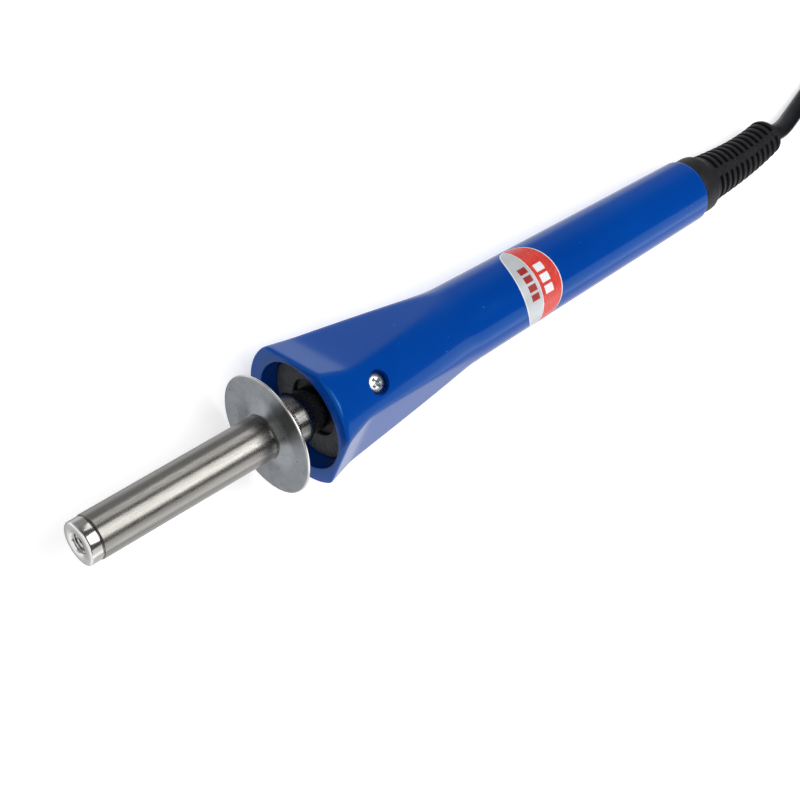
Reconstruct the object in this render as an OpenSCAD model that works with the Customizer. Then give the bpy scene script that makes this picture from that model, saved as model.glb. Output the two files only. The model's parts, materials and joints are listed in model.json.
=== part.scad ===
// Mains soldering iron without its bit: a steel heater barrel with a threaded nose,
// a heat-shield disc, a moulded one-piece handle and a two-core cord with a plug.
//
// The parts are drawn in the iron's own frame: +X runs along the barrel from the nose
// face to the cord, and +Z points at the upper screw. Module laid() then tips the iron
// so that it rests on the lower flat of its collar and on the end of its handle.

/* [Barrel] */
// Outer diameter of the heater barrel
barrel_d = 11.0; // [10:0.1:12]
// Wall of the heater barrel
barrel_wall = 0.4; // [0.3:0.1:0.6]
// Length of the plated nose cap in front of the barrel
nose_cap_len = 3.2; // [2.5:0.1:4]
// Minor diameter of the bit thread
thread_minor_d = 4.2; // [3.3:0.1:5]
// Depth of the bit socket
socket_depth = 12; // [8:1:16]

/* [Heat shield] */
// Distance of the disc from the nose face
disc_x = 51.8; // [48:0.1:54]
// Diameter of the disc
disc_d = 29.8; // [24:0.1:34]
// Sheet thickness of the disc
disc_t = 0.6; // [0.4:0.1:1]

/* [Handle] */
// Distance of the handle's mouth from the nose face
mouth_x = 61.2; // [60:0.1:63]
// Diameter of the round outline at the mouth
mouth_d = 35.6; // [34:0.1:37]
// Diameter of the mouth's bore
mouth_bore_d = 27.2; // [26:0.1:27.6]
// Distance of the end of the handle from the nose face
tail_x = 197.4; // [194:0.1:202]
// Diameter where the flare meets the grip
neck_d = 20.6; // [20:0.1:21.5]
// Diameter of the grip at its cord end
tail_d = 17.0; // [16.6:0.1:18]
// Distance of the collar flats from the axis, at the mouth
flat_r = 15.2; // [15:0.1:15.8]
// Distance of the creases behind the collar flats from the axis
crease_r = 12.7; // [12.5:0.1:13.2]

/* [Fasteners] */
// Distance of the three screws from the nose face
screw_x = 75.2; // [74:0.1:76]
// Thread diameter of the screws
screw_d = 3.0; // [2.5:0.5:3]
// Head diameter of the screws
screw_head_d = 4.9; // [4.5:0.1:5.2]

/* [Cord] */
// Diameter of the round two-core cord
cord_d = 5.0; // [5:0.1:5.2]
// Mean radius of the outermost turn of the stored coil
coil_r = 36; // [34:1:36]
// Turns side by side in the bottom layer of the coil
coil_turns = 3; // [3:1:3]

/* [Plug] */
// Width of the flat two-pin plug
plug_w = 35.3; // [34:0.1:36]
// Thickness of the plug
plug_t = 13.7; // [13:0.1:14]
// Distance between the two pins
pin_gap = 18.6; // [18:0.1:19]
// Diameter of the pins
pin_d = 4.0; // [4:0.1:4]

/* [Hidden] */
$fn = 64;

blue = [0.0, 0.29, 0.62];
steel = [0.72, 0.70, 0.66];
zinc = [0.66, 0.68, 0.70];
black = [0.10, 0.10, 0.11];
mica = [0.78, 0.72, 0.58];
ceramic = [0.93, 0.91, 0.86];
edge = 0.01;

// ---- Barrel and heater stack, all on the axis ----
barrel_r = barrel_d / 2;
bore_r = barrel_r - barrel_wall;
barrel_front_end = 50.5;
barrel_end = 80;
nose_r = barrel_r - 0.16;
barrel_rear_r = barrel_r - 0.16;
bush_end = 14;
core_start = bush_end + 0.6;
core_end = 58.4;
core_r = 3.0;
mica_t = 0.3;
wire_r = 0.3;
winding_start = 18;
winding_end = 56;
winding_turns = 19;
rear_bush_end = 70;
lead_gap = 1.8;

// ---- Handle ----
mouth_r = mouth_d / 2;
neck_x = 108;
neck_r = neck_d / 2;
tail_r = tail_d / 2;
tail_round = 1.1;
mouth_chamfer = 0.5;
crease_x = mouth_x + 8.3;
flat_angles = [60, 180, 300];
facet_end_r = neck_r + 0.08;
plate_x = 65.6;
plate_t = 0.8;
plate_r = 12.9;
shoulder_x = plate_x + plate_t;
cavity_front_r = 11.0;
cavity_neck_r = 8.3;
cavity_end_r = 6.6;
cavity_end_x = 191;
tail_bore_r = 5.4;

// ---- Screws and the bracket that they pull on ----
screw_angles = [0, 120, 240];
flare_slope = (mouth_r - neck_r) / (neck_x - mouth_x);
screw_surface_r = mouth_r - flare_slope * (screw_x - mouth_x);
screw_seat_r = screw_surface_r - 2.7;
screw_head_h = 1.6;
recess_d = 6.0;
screw_len = 6.2;
bracket_x = shoulder_x + 0.2;
bracket_t = 1.0;
tab_in = 8.7;
tab_out = 9.9;
tab_w = 5;
tab_end = 78.5;

// ---- Resting attitude ----
rest_x = mouth_x + mouth_chamfer;
rest_r = flat_r - mouth_chamfer * (flat_r - crease_r) / (crease_x - mouth_x);
tail_rest_x = tail_x - tail_round;
tail_rest_r = tail_r + 0.02;
tilt = atan((rest_r - tail_rest_r) / (tail_rest_x - rest_x));
nose_z = rest_r * cos(tilt) + rest_x * sin(tilt);

// ---- Strain relief: a cuff, then a grooved part that bends a little to the side ----
relief_in_x = 189.4;
relief_cuff_r = 7.85;
relief_cuff_x = 201.8;
relief_neck_x = 204.4;
relief_bend_x = 222;
relief_far_x = 234;
relief_lean = 8.5;
relief_grooves = 12;
relief_groove_x = 205.5;
relief_pitch = 2.36;
groove_w = 1.1;
groove_depth = 1.1;
relief_front_r = 6.7;
relief_end_r = 5.1;
relief_end_x = relief_bend_x + (relief_far_x - relief_bend_x) * cos(relief_lean);

// The origin is under the middle of the iron, from the nose's upper edge to the relief's end
front_x = -(nose_r - 0.5) * sin(tilt);
back_x = relief_end_x * cos(tilt) + relief_end_r * sin(tilt);
mid_x = (front_x + back_x) / 2;

// ---- Cord route, on the surface the iron lies on ----
cord_r = cord_d / 2;
run_points = [[116.8, 1.7, 6.7], [119.4, 1.4, 6.4], [122.0, 1.2, 5.9], [124.9, 1.4, 5.2],
              [128.4, 2.1, 4.3], [132.0, 3.1, 3.6], [135.6, 4.2, 3.1], [139.0, 5.4, 2.9],
              [142.2, 6.6, 2.9], [145.4, 7.8, 2.9], [148.6, 8.9, 3.0], [151.9, 10.1, 3.1],
              [157.2, 12.0, 3.1]];
coil_centre = [168, -22.5];
coil_low = 3.1;
coil_layers = 3;
tail_points = [[168, 11.4, 13.1], [172, 11.4, 13.1], [176, 11.4, 13.1], [180, 11.4, 13.1],
               [184, 11.4, 13.1], [188, 11.4, 13.0], [192, 11.4, 12.8], [196, 11.4, 12.4],
               [200, 11.4, 11.9], [204, 11.4, 11.3], [208, 11.3, 10.7], [212, 10.7, 10.0],
               [215.7, 9.4, 9.3], [219, 7.3, 8.6], [221.8, 4.5, 8.0], [224, 1.2, 7.5],
               [225.5, -2.4, 7.15], [226.3, -5.8, 7.0], [226.5, -8, 6.95]];

// ---- Plug ----
plug_x = 226.5;
plug_entry_y = -8;
plug_z = plug_t / 2 + 0.1;
plug_neck_len = 11;
plug_len = 36;
pin_len = 19;
pin_sleeve_len = 10;
pin_core_r = 1.4;

// Turns a child drawn along +Z to lie along the iron's axis, starting at distance x
module on_axis(x = 0) { translate([x, 0, 0]) rotate([0, 90, 0]) children(); }

// A solid of revolution about the axis; its points are [distance from the nose, radius]
module turned(points) {
    rotate([0, 90, 0]) rotate_extrude() polygon([for (p = points) [p[1], p[0]]]);
}

// A tube on the axis
module tube(x0, x1, r_in, r_out) {
    turned([[x0, r_in], [x1, r_in], [x1, r_out], [x0, r_out]]);
}

// A round bar between two points
module bar(a, b, r) {
    d = b - a;
    translate(a)
        rotate([0, acos(d[2] / norm(d)), atan2(d[1], d[0])])
            cylinder(h = norm(d), r = r);
}

// Turns a child about the axis, from the upper side towards +Y
module around(angle) { rotate([-angle, 0, 0]) children(); }

// Places the iron on the surface it rests on, with the origin under its middle
module laid() { translate([-mid_x, 0, nose_z]) rotate([0, tilt, 0]) children(); }

// Leans what is behind the strain relief's bend
module leaned() {
    translate([relief_bend_x, 0, 0]) rotate([0, 0, relief_lean])
        translate([-relief_bend_x, 0, 0]) children();
}

// Keeps the side of a child that is before the mitre where the lean starts, or behind it
module mitred(behind = false) {
    intersection() {
        children();
        translate([relief_bend_x, 0, 0]) rotate([0, 0, relief_lean / 2])
            translate([behind ? 0 : -100, -50, -50]) cube(100);
    }
}

// ---- Heater ----

module nose_bush() {
    color(zinc) laid() difference() {
        turned([[0, 0], [0, nose_r - 0.5], [0.5, nose_r], [nose_cap_len, nose_r],
                [nose_cap_len, bore_r], [bush_end, bore_r], [bush_end, 0]]);
        on_axis(-1) cylinder(h = socket_depth + 1, d = thread_minor_d);
        turned([[-1, 0], [-1, thread_minor_d / 2 + 1.6], [0.6, thread_minor_d / 2],
                [0.6, 0]]);
    }
}

module barrel_tube() {
    color(steel) laid() turned([
        [nose_cap_len, bore_r], [nose_cap_len, barrel_r - 0.15], [nose_cap_len + 0.2, barrel_r],
        [barrel_front_end, barrel_r], [barrel_front_end, barrel_rear_r],
        [barrel_end, barrel_rear_r], [barrel_end, bore_r]]);
}

module heat_shield() {
    hub_r = barrel_r + 0.5;
    hub_foot_r = 9.5;
    hub_h = 1.2;
    color(zinc) laid() turned([
        [disc_x - hub_h, barrel_rear_r], [disc_x - hub_h, hub_r],
        [disc_x - disc_t / 2, hub_foot_r], [disc_x - disc_t / 2, disc_d / 2],
        [disc_x + disc_t / 2, disc_d / 2], [disc_x + disc_t / 2, hub_foot_r],
        [disc_x + disc_t - hub_h, hub_r], [disc_x + disc_t - hub_h, barrel_rear_r]]);
}

module crimp_collar() {
    collar_x = 52.2;
    collar_len = 4.8;
    skirt_len = 3.4;
    skirt_r = barrel_r + 0.9;
    ribs = 3;
    pitch = collar_len / ribs;
    rib_points = [for (i = [0:ribs - 1]) each [
        [collar_x + pitch * i, barrel_r + 0.3], [collar_x + pitch * (i + 0.3), barrel_r + 0.8],
        [collar_x + pitch * (i + 0.7), barrel_r + 0.8]]];
    color(zinc) laid() turned(concat([[collar_x, barrel_rear_r]], rib_points,
        [[collar_x + collar_len, barrel_r + 0.2],
         [collar_x + collar_len + skirt_len, skirt_r],
         [collar_x + collar_len + skirt_len, barrel_rear_r]]));
}

module insulation_plate() {
    hole_r = 7.3;
    color([0.30, 0.30, 0.32]) laid() tube(plate_x, plate_x + plate_t, hole_r, plate_r);
}

module mount_bracket() {
    ring_r = 10.5;
    color(zinc) laid() difference() {
        union() {
            tube(bracket_x, bracket_x + bracket_t, barrel_rear_r, ring_r);
            for (a = screw_angles) around(a)
                translate([bracket_x, -tab_w / 2, tab_in])
                    cube([tab_end - bracket_x, tab_w, tab_out - tab_in]);
        }
        for (a = screw_angles) around(a)
            translate([screw_x, 0, 0]) cylinder(h = 12, d = screw_d);
    }
}

module heater_core() {
    bore = 0.9;
    color(ceramic) laid() tube(core_start, core_end, bore, core_r);
}

module inner_mica_sleeve() {
    color(mica) laid() tube(core_start, core_end, core_r, core_r + mica_t);
}

module heater_winding() {
    in_r = core_r + mica_t;
    out_r = in_r + 2 * wire_r;
    pitch = (winding_end - winding_start) / winding_turns;
    ridge = [for (i = [0:winding_turns - 1]) each [
        [winding_start + pitch * i, out_r - 0.25], [winding_start + pitch * (i + 0.2), out_r],
        [winding_start + pitch * (i + 0.8), out_r], [winding_start + pitch * (i + 1), out_r - 0.25]]];
    color([0.45, 0.42, 0.40]) laid()
        turned(concat([[winding_start, in_r]], ridge, [[winding_end, in_r]]));
}

module outer_mica_sleeve() {
    in_r = core_r + mica_t + 2 * wire_r;
    color(mica) laid() tube(core_start, core_end, in_r, in_r + 0.5);
}

module mica_end_washer() {
    color(mica) laid() on_axis(bush_end) cylinder(h = core_start - bush_end, r = bore_r - 0.3);
}

module rear_ceramic_bush() {
    color(ceramic) laid() difference() {
        tube(core_end + 1.6, rear_bush_end, 0.6, bore_r - 0.05);
        for (side = [-1, 1]) translate([0, side * lead_gap, 0])
            on_axis(core_end) cylinder(h = 20, r = wire_r + 0.1);
    }
}

module heater_leads() {
    winding_r = core_r + mica_t + wire_r;
    turn_x = core_end + 0.8;
    lead_end = 92;
    color(steel) laid() for (side = [-1, 1]) {
        bar([winding_end, side * winding_r, 0], [turn_x + wire_r, side * winding_r, 0], wire_r);
        bar([turn_x, side * winding_r, 0], [turn_x, side * (lead_gap - wire_r), 0], wire_r);
        bar([turn_x - wire_r, side * lead_gap, 0], [lead_end, side * lead_gap, 0], wire_r);
    }
}

module lead_sleeves() {
    sleeve_end = 88;
    color([0.92, 0.90, 0.84]) laid() for (side = [-1, 1])
        translate([0, side * lead_gap, 0]) tube(rear_bush_end + 1, sleeve_end, wire_r, 1.1);
}

module crimp_sleeves() {
    color(zinc) laid() for (side = [-1, 1]) translate([0, side * lead_gap, 0]) difference() {
        on_axis(90) cylinder(h = 8, r = 1.4);
        on_axis(89) cylinder(h = 3, r = wire_r);
        on_axis(95) cylinder(h = 4, r = 0.9);
    }
}

// One insulated conductor, from its crimp sleeve to the end of the cord's sheath
module conductor(side) {
    straight_end = 164;
    sheath_x = 174;
    conductor_r = 0.9;
    sheath_gap = 1.1;
    bar([95, side * lead_gap, 0], [straight_end, side * lead_gap, 0], conductor_r);
    bar([straight_end - 1, side * lead_gap, 0], [sheath_x - edge, side * sheath_gap, 0],
        conductor_r - edge);
}

module conductor_brown() { color([0.42, 0.24, 0.13]) laid() conductor(1); }

module conductor_blue() { color([0.15, 0.35, 0.70]) laid() conductor(-1); }

// ---- Handle ----

// The radius of the cavity shrinks evenly along the flare and again along the grip
module handle_cavity() {
    turned([[mouth_x - 1, 0], [mouth_x - 1, mouth_bore_d / 2],
            [mouth_x, mouth_bore_d / 2], [shoulder_x, plate_r + 0.1],
            [shoulder_x, cavity_front_r], [neck_x, cavity_neck_r],
            [cavity_end_x, cavity_end_r], [cavity_end_x, tail_bore_r],
            [tail_x + 1, tail_bore_r], [tail_x + 1, 0]]);
}

// What is cut from the flare to leave a collar flat, a crease and a long facet
module flat_cut() {
    out = mouth_r + 4;
    half = mouth_r + 2;
    rotate([90, 0, 0]) translate([0, 0, -half]) linear_extrude(2 * half)
        polygon([[mouth_x - 2, flat_r + 0.6], [crease_x, crease_r], [neck_x, facet_end_r],
                 [neck_x + 30, neck_r + 4], [neck_x + 30, out], [mouth_x - 2, out]]);
}

module handle_shell() {
    color(blue) laid() difference() {
        turned([[mouth_x, 0], [mouth_x, mouth_r - mouth_chamfer],
                [mouth_x + mouth_chamfer, mouth_r - flare_slope * mouth_chamfer],
                [neck_x, neck_r], [tail_x - tail_round, tail_r + 0.02],
                [tail_x - 0.35, tail_r - 0.3], [tail_x, tail_r - tail_round], [tail_x, 0]]);
        for (a = flat_angles) around(a) flat_cut();
        handle_cavity();
        for (a = screw_angles) around(a) {
            translate([screw_x, 0, screw_seat_r]) cylinder(h = 10, d = recess_d);
            translate([screw_x, 0, tab_out - 1]) cylinder(h = 10, d = screw_d + 0.2);
        }
    }
}

module handle_screws() {
    slot_w = 0.9;
    slot_len = 2.9;
    color(zinc) laid() for (a = screw_angles) around(a)
        translate([screw_x, 0, screw_seat_r]) difference() {
            union() {
                translate([0, 0, -screw_len]) cylinder(h = screw_len + edge, d = screw_d);
                cylinder(h = screw_head_h - 0.5, d = screw_head_d);
                translate([0, 0, screw_head_h - 0.5])
                    cylinder(h = 0.5, d1 = screw_head_d, d2 = screw_head_d - 1.4);
            }
            for (turn = [0, 90]) rotate([0, 0, turn])
                translate([-slot_len / 2, -slot_w / 2, screw_head_h - 1.1])
                    cube([slot_len, slot_w, 2]);
        }
}

module rating_label() {
    centre_x = 132.8;
    half_len = 6.75;
    half_angle = 80;
    thickness = 0.12;
    grip_slope = (neck_r - tail_r) / (tail_x - neck_x);
    label_r = neck_r - grip_slope * (centre_x - neck_x);
    outline = [for (t = [0:7.5:359]) [centre_x + half_len * cos(t),
                                      label_r * sin(half_angle * sin(t))]];
    color([0.80, 0.20, 0.18]) laid() intersection() {
        turned([[neck_x, neck_r], [tail_x, tail_r], [tail_x, tail_r + thickness],
                [neck_x, neck_r + thickness]]);
        linear_extrude(20) polygon(outline);
    }
}

// ---- Strain relief and the cord inside the handle ----

// Radius of the relief's ribs, which get thinner towards the cord
function rib_r(x) =
    let (left = max(0, 1 - (x - relief_neck_x) / (relief_far_x - relief_neck_x)))
    relief_end_r + (relief_front_r - relief_end_r) * pow(left, 1.45);

module unbent_relief() {
    snap_r = 6.4;
    end_round = 1.5;
    grooves = [for (i = [0:relief_grooves - 1])
        let (x = relief_groove_x + i * relief_pitch, half = groove_w / 2)
        each [[x - half, rib_r(x)], [x - half, rib_r(x) - groove_depth],
              [x + half, rib_r(x) - groove_depth], [x + half, rib_r(x)]]];
    turned(concat(
        [[relief_in_x, cord_r], [relief_in_x, snap_r - 0.6], [cavity_end_x - 0.2, snap_r],
         [cavity_end_x - 0.2, tail_bore_r - 0.1], [tail_x + 0.1, tail_bore_r - 0.1],
         [tail_x + 0.1, relief_cuff_r - 0.1], [tail_x + 0.6, relief_cuff_r],
         [relief_cuff_x, relief_cuff_r], [relief_cuff_x + 1.2, relief_cuff_r - 0.45],
         [relief_neck_x, relief_front_r]],
        grooves,
        [[relief_far_x - end_round, relief_end_r],
         [relief_far_x - end_round * 0.3, relief_end_r - end_round * 0.3],
         [relief_far_x, relief_end_r - end_round], [relief_far_x, cord_r]]));
}

// A child on the iron's axis, bent where the strain relief bends
module bent() {
    mitred() children();
    mitred(behind = true) leaned() children();
}

module strain_relief() { color(black) laid() bent() unbent_relief(); }

module cord_retainer() {
    color(zinc) laid() {
        tube(181, 187, cord_r, cord_r + 0.8);
        tube(187, 188, cord_r, 5.6);
    }
}

module cord_lead_in() {
    sheath_x = 174;
    color(black) laid() bent() on_axis(sheath_x) cylinder(h = relief_far_x - sheath_x, r = cord_r);
}

// ---- Free cord ----

// Direction of a route at point i, from its neighbours
function heading(p, i) =
    let (a = p[max(i - 1, 0)], b = p[min(i + 1, len(p) - 1)]) (b - a) / norm(b - a);

// One ring of a swept tube, square to the route
function ring_at(p, i, r, sides) =
    let (d = heading(p, i), side = cross(d, [0, 0, 1]) / norm(cross(d, [0, 0, 1])),
         up = cross(side, d))
    [for (k = [0:sides - 1])
        p[i] + r * (cos(360 * k / sides) * side + sin(360 * k / sides) * up)];

// A closed tube swept along a route
module swept(p, r, sides = 10) {
    n = len(p);
    points = [for (i = [0:n - 1]) each ring_at(p, i, r, sides)];
    walls = [for (i = [0:n - 2], k = [0:sides - 1])
        let (j = (k + 1) % sides)
        each [[i * sides + k, i * sides + j, (i + 1) * sides + j],
              [i * sides + k, (i + 1) * sides + j, (i + 1) * sides + k]]];
    caps = [[for (k = [sides - 1:-1:0]) k], [for (k = [0:sides - 1]) (n - 1) * sides + k]];
    polyhedron(points, concat(walls, caps));
}

module cord_run() { color(black) swept(run_points, cord_r); }

module cord_coil() {
    out_r = coil_r + cord_r + 0.1;
    in_r = coil_r - coil_turns * cord_d - cord_r - 0.1;
    low = coil_low - cord_r;
    high = low + coil_layers * cord_d;
    color(black) translate(coil_centre) rotate_extrude()
        polygon([[in_r, low + 1], [in_r + 1, low], [out_r - 1, low], [out_r, low + 1],
                 [out_r, high - 1], [out_r - 1, high], [in_r + 1, high], [in_r, high - 1]]);
}

module cord_tail() { color(black) swept(tail_points, cord_r); }

module coil_tie() {
    tie_t = 0.5;
    tie_w = 3;
    mid_r = coil_r - coil_turns * cord_d / 2;
    half_r = coil_turns * cord_d / 2 + cord_r + 0.2;
    low = coil_low - cord_r - 0.05;
    high = low + coil_layers * cord_d + 0.1;
    color([0.15, 0.15, 0.16]) translate([coil_centre[0] + mid_r, coil_centre[1] - tie_w / 2, 0])
        difference() {
            translate([-half_r - tie_t, 0, low - tie_t])
                cube([2 * (half_r + tie_t), tie_w, high - low + 2 * tie_t]);
            translate([-half_r, -1, low]) cube([2 * half_r, tie_w + 2, high - low]);
        }
}

// ---- Plug ----

// Places the plug on the surface, with its cord end at the origin and its pins along +X
module plugged() {
    translate([plug_x, plug_entry_y, plug_z]) rotate([0, 0, -90]) children();
}

module plug_body() {
    neck_r = 4.3;
    shoulder_w = 17;
    color(black) plugged() {
        difference() {
            on_axis() cylinder(h = plug_neck_len + 1, r1 = neck_r - 0.4, r2 = neck_r + 1);
            for (i = [1:3]) on_axis(2.4 * i) tube_cut(neck_r - 0.5);
        }
        translate([plug_neck_len, 0, -plug_t / 2]) linear_extrude(plug_t)
            polygon([[0, -shoulder_w / 2], [8, -plug_w / 2], [plug_len - plug_neck_len, -plug_w / 2],
                     [plug_len - plug_neck_len, plug_w / 2], [8, plug_w / 2],
                     [0, shoulder_w / 2]]);
    }
}

// A shallow ring groove in the plug's cord neck
module tube_cut(r_in) {
    difference() {
        cylinder(h = 1, r = 8);
        translate([0, 0, -1]) cylinder(h = 3, r = r_in);
    }
}

module plug_pin_sleeves() {
    root_r = pin_d / 2 - 0.05;
    end_r = pin_d / 2 - 0.15;
    sleeve_end = plug_len + pin_sleeve_len;
    color(black) plugged() for (side = [-1, 1]) translate([0, side * pin_gap / 2, 0])
        turned([[plug_len, pin_core_r], [plug_len, root_r], [sleeve_end, end_r],
                [sleeve_end, pin_core_r]]);
}

module plug_pins() {
    color([0.80, 0.78, 0.70]) plugged() for (side = [-1, 1])
        translate([0, side * pin_gap / 2, 0])
            turned([[plug_len, 0], [plug_len, pin_core_r], [plug_len + pin_sleeve_len, pin_core_r],
                    [plug_len + pin_sleeve_len, pin_d / 2], [plug_len + pin_len - 1, pin_d / 2],
                    [plug_len + pin_len, pin_d / 2 - 1], [plug_len + pin_len, 0]]);
}

nose_bush();
barrel_tube();
heat_shield();
crimp_collar();
insulation_plate();
mount_bracket();
heater_core();
inner_mica_sleeve();
heater_winding();
outer_mica_sleeve();
mica_end_washer();
rear_ceramic_bush();
heater_leads();
lead_sleeves();
crimp_sleeves();
conductor_brown();
conductor_blue();
handle_shell();
handle_screws();
rating_label();
strain_relief();
cord_retainer();
cord_lead_in();
cord_run();
cord_coil();
cord_tail();
coil_tie();
plug_body();
plug_pin_sleeves();
plug_pins();
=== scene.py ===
"""A soldering iron without its bit, lying on a pale floor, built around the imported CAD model.

Shapes are worked out in the iron's own frame, in millimetres: x runs from the nose face
along the barrel to the cord, z points at the upper screw and y to the side. A place on the
iron is given by x, a radius and an angle psi about the axis, from z towards y.
"""

import json
import math

import bmesh
import bpy
from mathutils import Matrix, Vector


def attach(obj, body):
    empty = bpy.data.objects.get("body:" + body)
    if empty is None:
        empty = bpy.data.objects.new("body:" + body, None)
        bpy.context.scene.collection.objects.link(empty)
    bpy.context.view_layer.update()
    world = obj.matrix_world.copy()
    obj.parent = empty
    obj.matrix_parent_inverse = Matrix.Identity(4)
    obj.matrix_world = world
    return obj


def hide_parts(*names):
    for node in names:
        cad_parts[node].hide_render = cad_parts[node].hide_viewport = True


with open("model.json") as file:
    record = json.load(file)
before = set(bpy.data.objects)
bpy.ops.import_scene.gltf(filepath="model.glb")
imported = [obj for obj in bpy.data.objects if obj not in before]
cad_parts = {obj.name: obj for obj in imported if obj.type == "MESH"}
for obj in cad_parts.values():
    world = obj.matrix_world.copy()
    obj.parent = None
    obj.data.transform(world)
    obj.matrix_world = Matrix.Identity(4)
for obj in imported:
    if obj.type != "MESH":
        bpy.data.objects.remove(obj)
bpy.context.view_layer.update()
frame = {"nodes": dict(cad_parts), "record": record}

MM = 0.001
BODY = "root"
NODES = frame["nodes"]
MOUNTS = {m["name"]: m for m in frame["record"]["mounts"]}

# ---- The iron's own frame, from the mount in its nose ----

SOCKET_X = 6.3           # distance of the socket mount from the nose face
ALONG = -Vector(MOUNTS["tip_socket"]["axis"]).normalized()
SIDE = Vector((0, 1, 0))
ABOVE = ALONG.cross(SIDE)
NOSE = Vector(MOUNTS["tip_socket"]["pos_m"]) - ALONG * SOCKET_X * MM


def at(x, y, z):
    """A point of the iron's own frame, in the row frame."""
    return NOSE + (x * ALONG + y * SIDE + z * ABOVE) * MM


def round_axis(x, r, psi):
    """A point at distance x from the nose, at radius r and angle psi (radians)."""
    return at(x, r * math.sin(psi), r * math.cos(psi))


def direction(x, y, z):
    """A direction of the iron's own frame, in the row frame."""
    return (x * ALONG + y * SIDE + z * ABOVE).normalized()


# ---- Camera ----

CAMERA_PLACE = (-131.34, 61.73, 354.86)
CAMERA_FORWARD = (0.51804, -0.16728, -0.83884)
CAMERA_UP = (0.44031, 0.89293, 0.09385)
CAMERA_LENS = 80.04      # mm, on a 36 mm sensor


def make_camera():
    data = bpy.data.cameras.new("camera")
    data.lens = CAMERA_LENS
    data.sensor_width = 36
    data.clip_start = 0.01
    camera = bpy.data.objects.new("camera", data)
    back = -direction(*CAMERA_FORWARD)
    right = direction(*CAMERA_UP).cross(back).normalized()
    up = back.cross(right)
    turn = Matrix((right, up, back)).transposed().to_4x4()
    camera.matrix_world = Matrix.Translation(at(*CAMERA_PLACE)) @ turn
    bpy.context.scene.collection.objects.link(camera)
    bpy.context.scene.camera = camera


make_camera()

# ---- Cord: the route's points are those of the CAD model ----

CORD_D = 5.0
RUN_POINTS = [
    (116.8, 1.7, 6.7), (119.4, 1.4, 6.4), (122.0, 1.2, 5.9), (124.9, 1.4, 5.2),
    (128.4, 2.1, 4.3), (132.0, 3.1, 3.6), (135.6, 4.2, 3.1), (139.0, 5.4, 2.9),
    (142.2, 6.6, 2.9), (145.4, 7.8, 2.9), (148.6, 8.9, 3.0), (151.9, 10.1, 3.1),
]
TAIL_POINTS = [
    (168, 11.4, 13.1), (172, 11.4, 13.1), (176, 11.4, 13.1), (180, 11.4, 13.1),
    (184, 11.4, 13.1), (188, 11.4, 13.0), (192, 11.4, 12.8), (196, 11.4, 12.4),
    (200, 11.4, 11.9), (204, 11.4, 11.3), (208, 11.3, 10.7), (212, 10.7, 10.0),
    (215.7, 9.4, 9.3), (219, 7.3, 8.6), (221.8, 4.5, 8.0), (224, 1.2, 7.5),
    (225.5, -2.4, 7.15), (226.3, -5.8, 7.0), (226.5, -8, 6.95),
]
COIL_CENTRE = (168, -22.5)
COIL_LOW = 3.1           # height of the cord's middle in the bottom layer
COIL_OUT = 36            # radius of the outermost turn
COIL_ENTRY = 107.5       # angle at which the cord comes in, in degrees
COIL_LEAVE = 90          # angle at which it leaves the third layer
COIL_STEPS = 24          # points for each turn


def circle(steps):
    """Evenly spaced angles round a full turn, in radians."""
    return [2 * math.pi * i / steps for i in range(steps)]


def ease(t):
    """0 to 1, level at both ends."""
    t = min(max(t, 0), 1)
    return t * t * (3 - 2 * t)


def coil_place(t):
    """Radius and height of the cord after t turns: three turns inwards on the floor, a
    climb, three turns outwards on top of them, a climb, and half a turn inwards again."""
    width = 3 * CORD_D
    climb = 0.3
    second, third = 3 + climb, 6 + 2 * climb
    if t < 3:
        radius = COIL_OUT - CORD_D * t
    elif t < second:
        radius = COIL_OUT - width
    elif t < third - climb:
        radius = COIL_OUT - width + CORD_D * (t - second)
    elif t < third:
        radius = COIL_OUT
    else:
        radius = COIL_OUT - CORD_D * (t - third)
    layer = ease((t - 3) / climb) + ease((t - third + climb) / climb)
    return radius, COIL_LOW + CORD_D * layer


def coil_points():
    turns = 7 + (COIL_ENTRY - COIL_LEAVE) / 360
    count = round(turns * COIL_STEPS)
    points = []
    for i in range(count):
        t = turns * i / count
        radius, height = coil_place(t)
        angle = math.radians(COIL_ENTRY - 360 * t)
        points.append((COIL_CENTRE[0] + radius * math.cos(angle),
                       COIL_CENTRE[1] + radius * math.sin(angle), height))
    return points


def make_cord():
    """The free cord as one smooth curve from the strain relief to the plug."""
    points = RUN_POINTS + coil_points() + TAIL_POINTS[1:]
    data = bpy.data.curves.new("cord", "CURVE")
    data.dimensions = "3D"
    data.bevel_depth = 1.0               # times each point's radius
    data.bevel_resolution = 6
    data.use_fill_caps = True
    data.resolution_u = 4
    spline = data.splines.new("BEZIER")
    spline.bezier_points.add(len(points) - 1)
    for knot, point in zip(spline.bezier_points, points):
        knot.co = Vector(point) * MM
        knot.radius = CORD_D / 2 * MM
        knot.handle_left_type = knot.handle_right_type = "AUTO"
    cord = bpy.data.objects.new("cord", data)
    bpy.context.scene.collection.objects.link(cord)
    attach(cord, BODY)
    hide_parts("cord_run", "cord_coil", "cord_tail")
    return cord


cord = make_cord()

# ---- Mesh tools ----


def add_mesh(name, mesh_data, materials, smooth_angle=35):
    """A finished bmesh as an object, with its normals outwards and its hard edges sharp."""
    bmesh.ops.remove_doubles(mesh_data, verts=mesh_data.verts, dist=0.0005 * MM)
    bmesh.ops.dissolve_degenerate(mesh_data, edges=mesh_data.edges, dist=0.0005 * MM)
    bmesh.ops.recalc_face_normals(mesh_data, faces=mesh_data.faces)
    mesh = bpy.data.meshes.new(name)
    mesh_data.to_mesh(mesh)
    mesh_data.free()
    mesh.shade_smooth()
    mesh.set_sharp_from_angle(angle=math.radians(smooth_angle))
    for material in materials:
        mesh.materials.append(material)
    piece = bpy.data.objects.new(name, mesh)
    bpy.context.scene.collection.objects.link(piece)
    return piece


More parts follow.
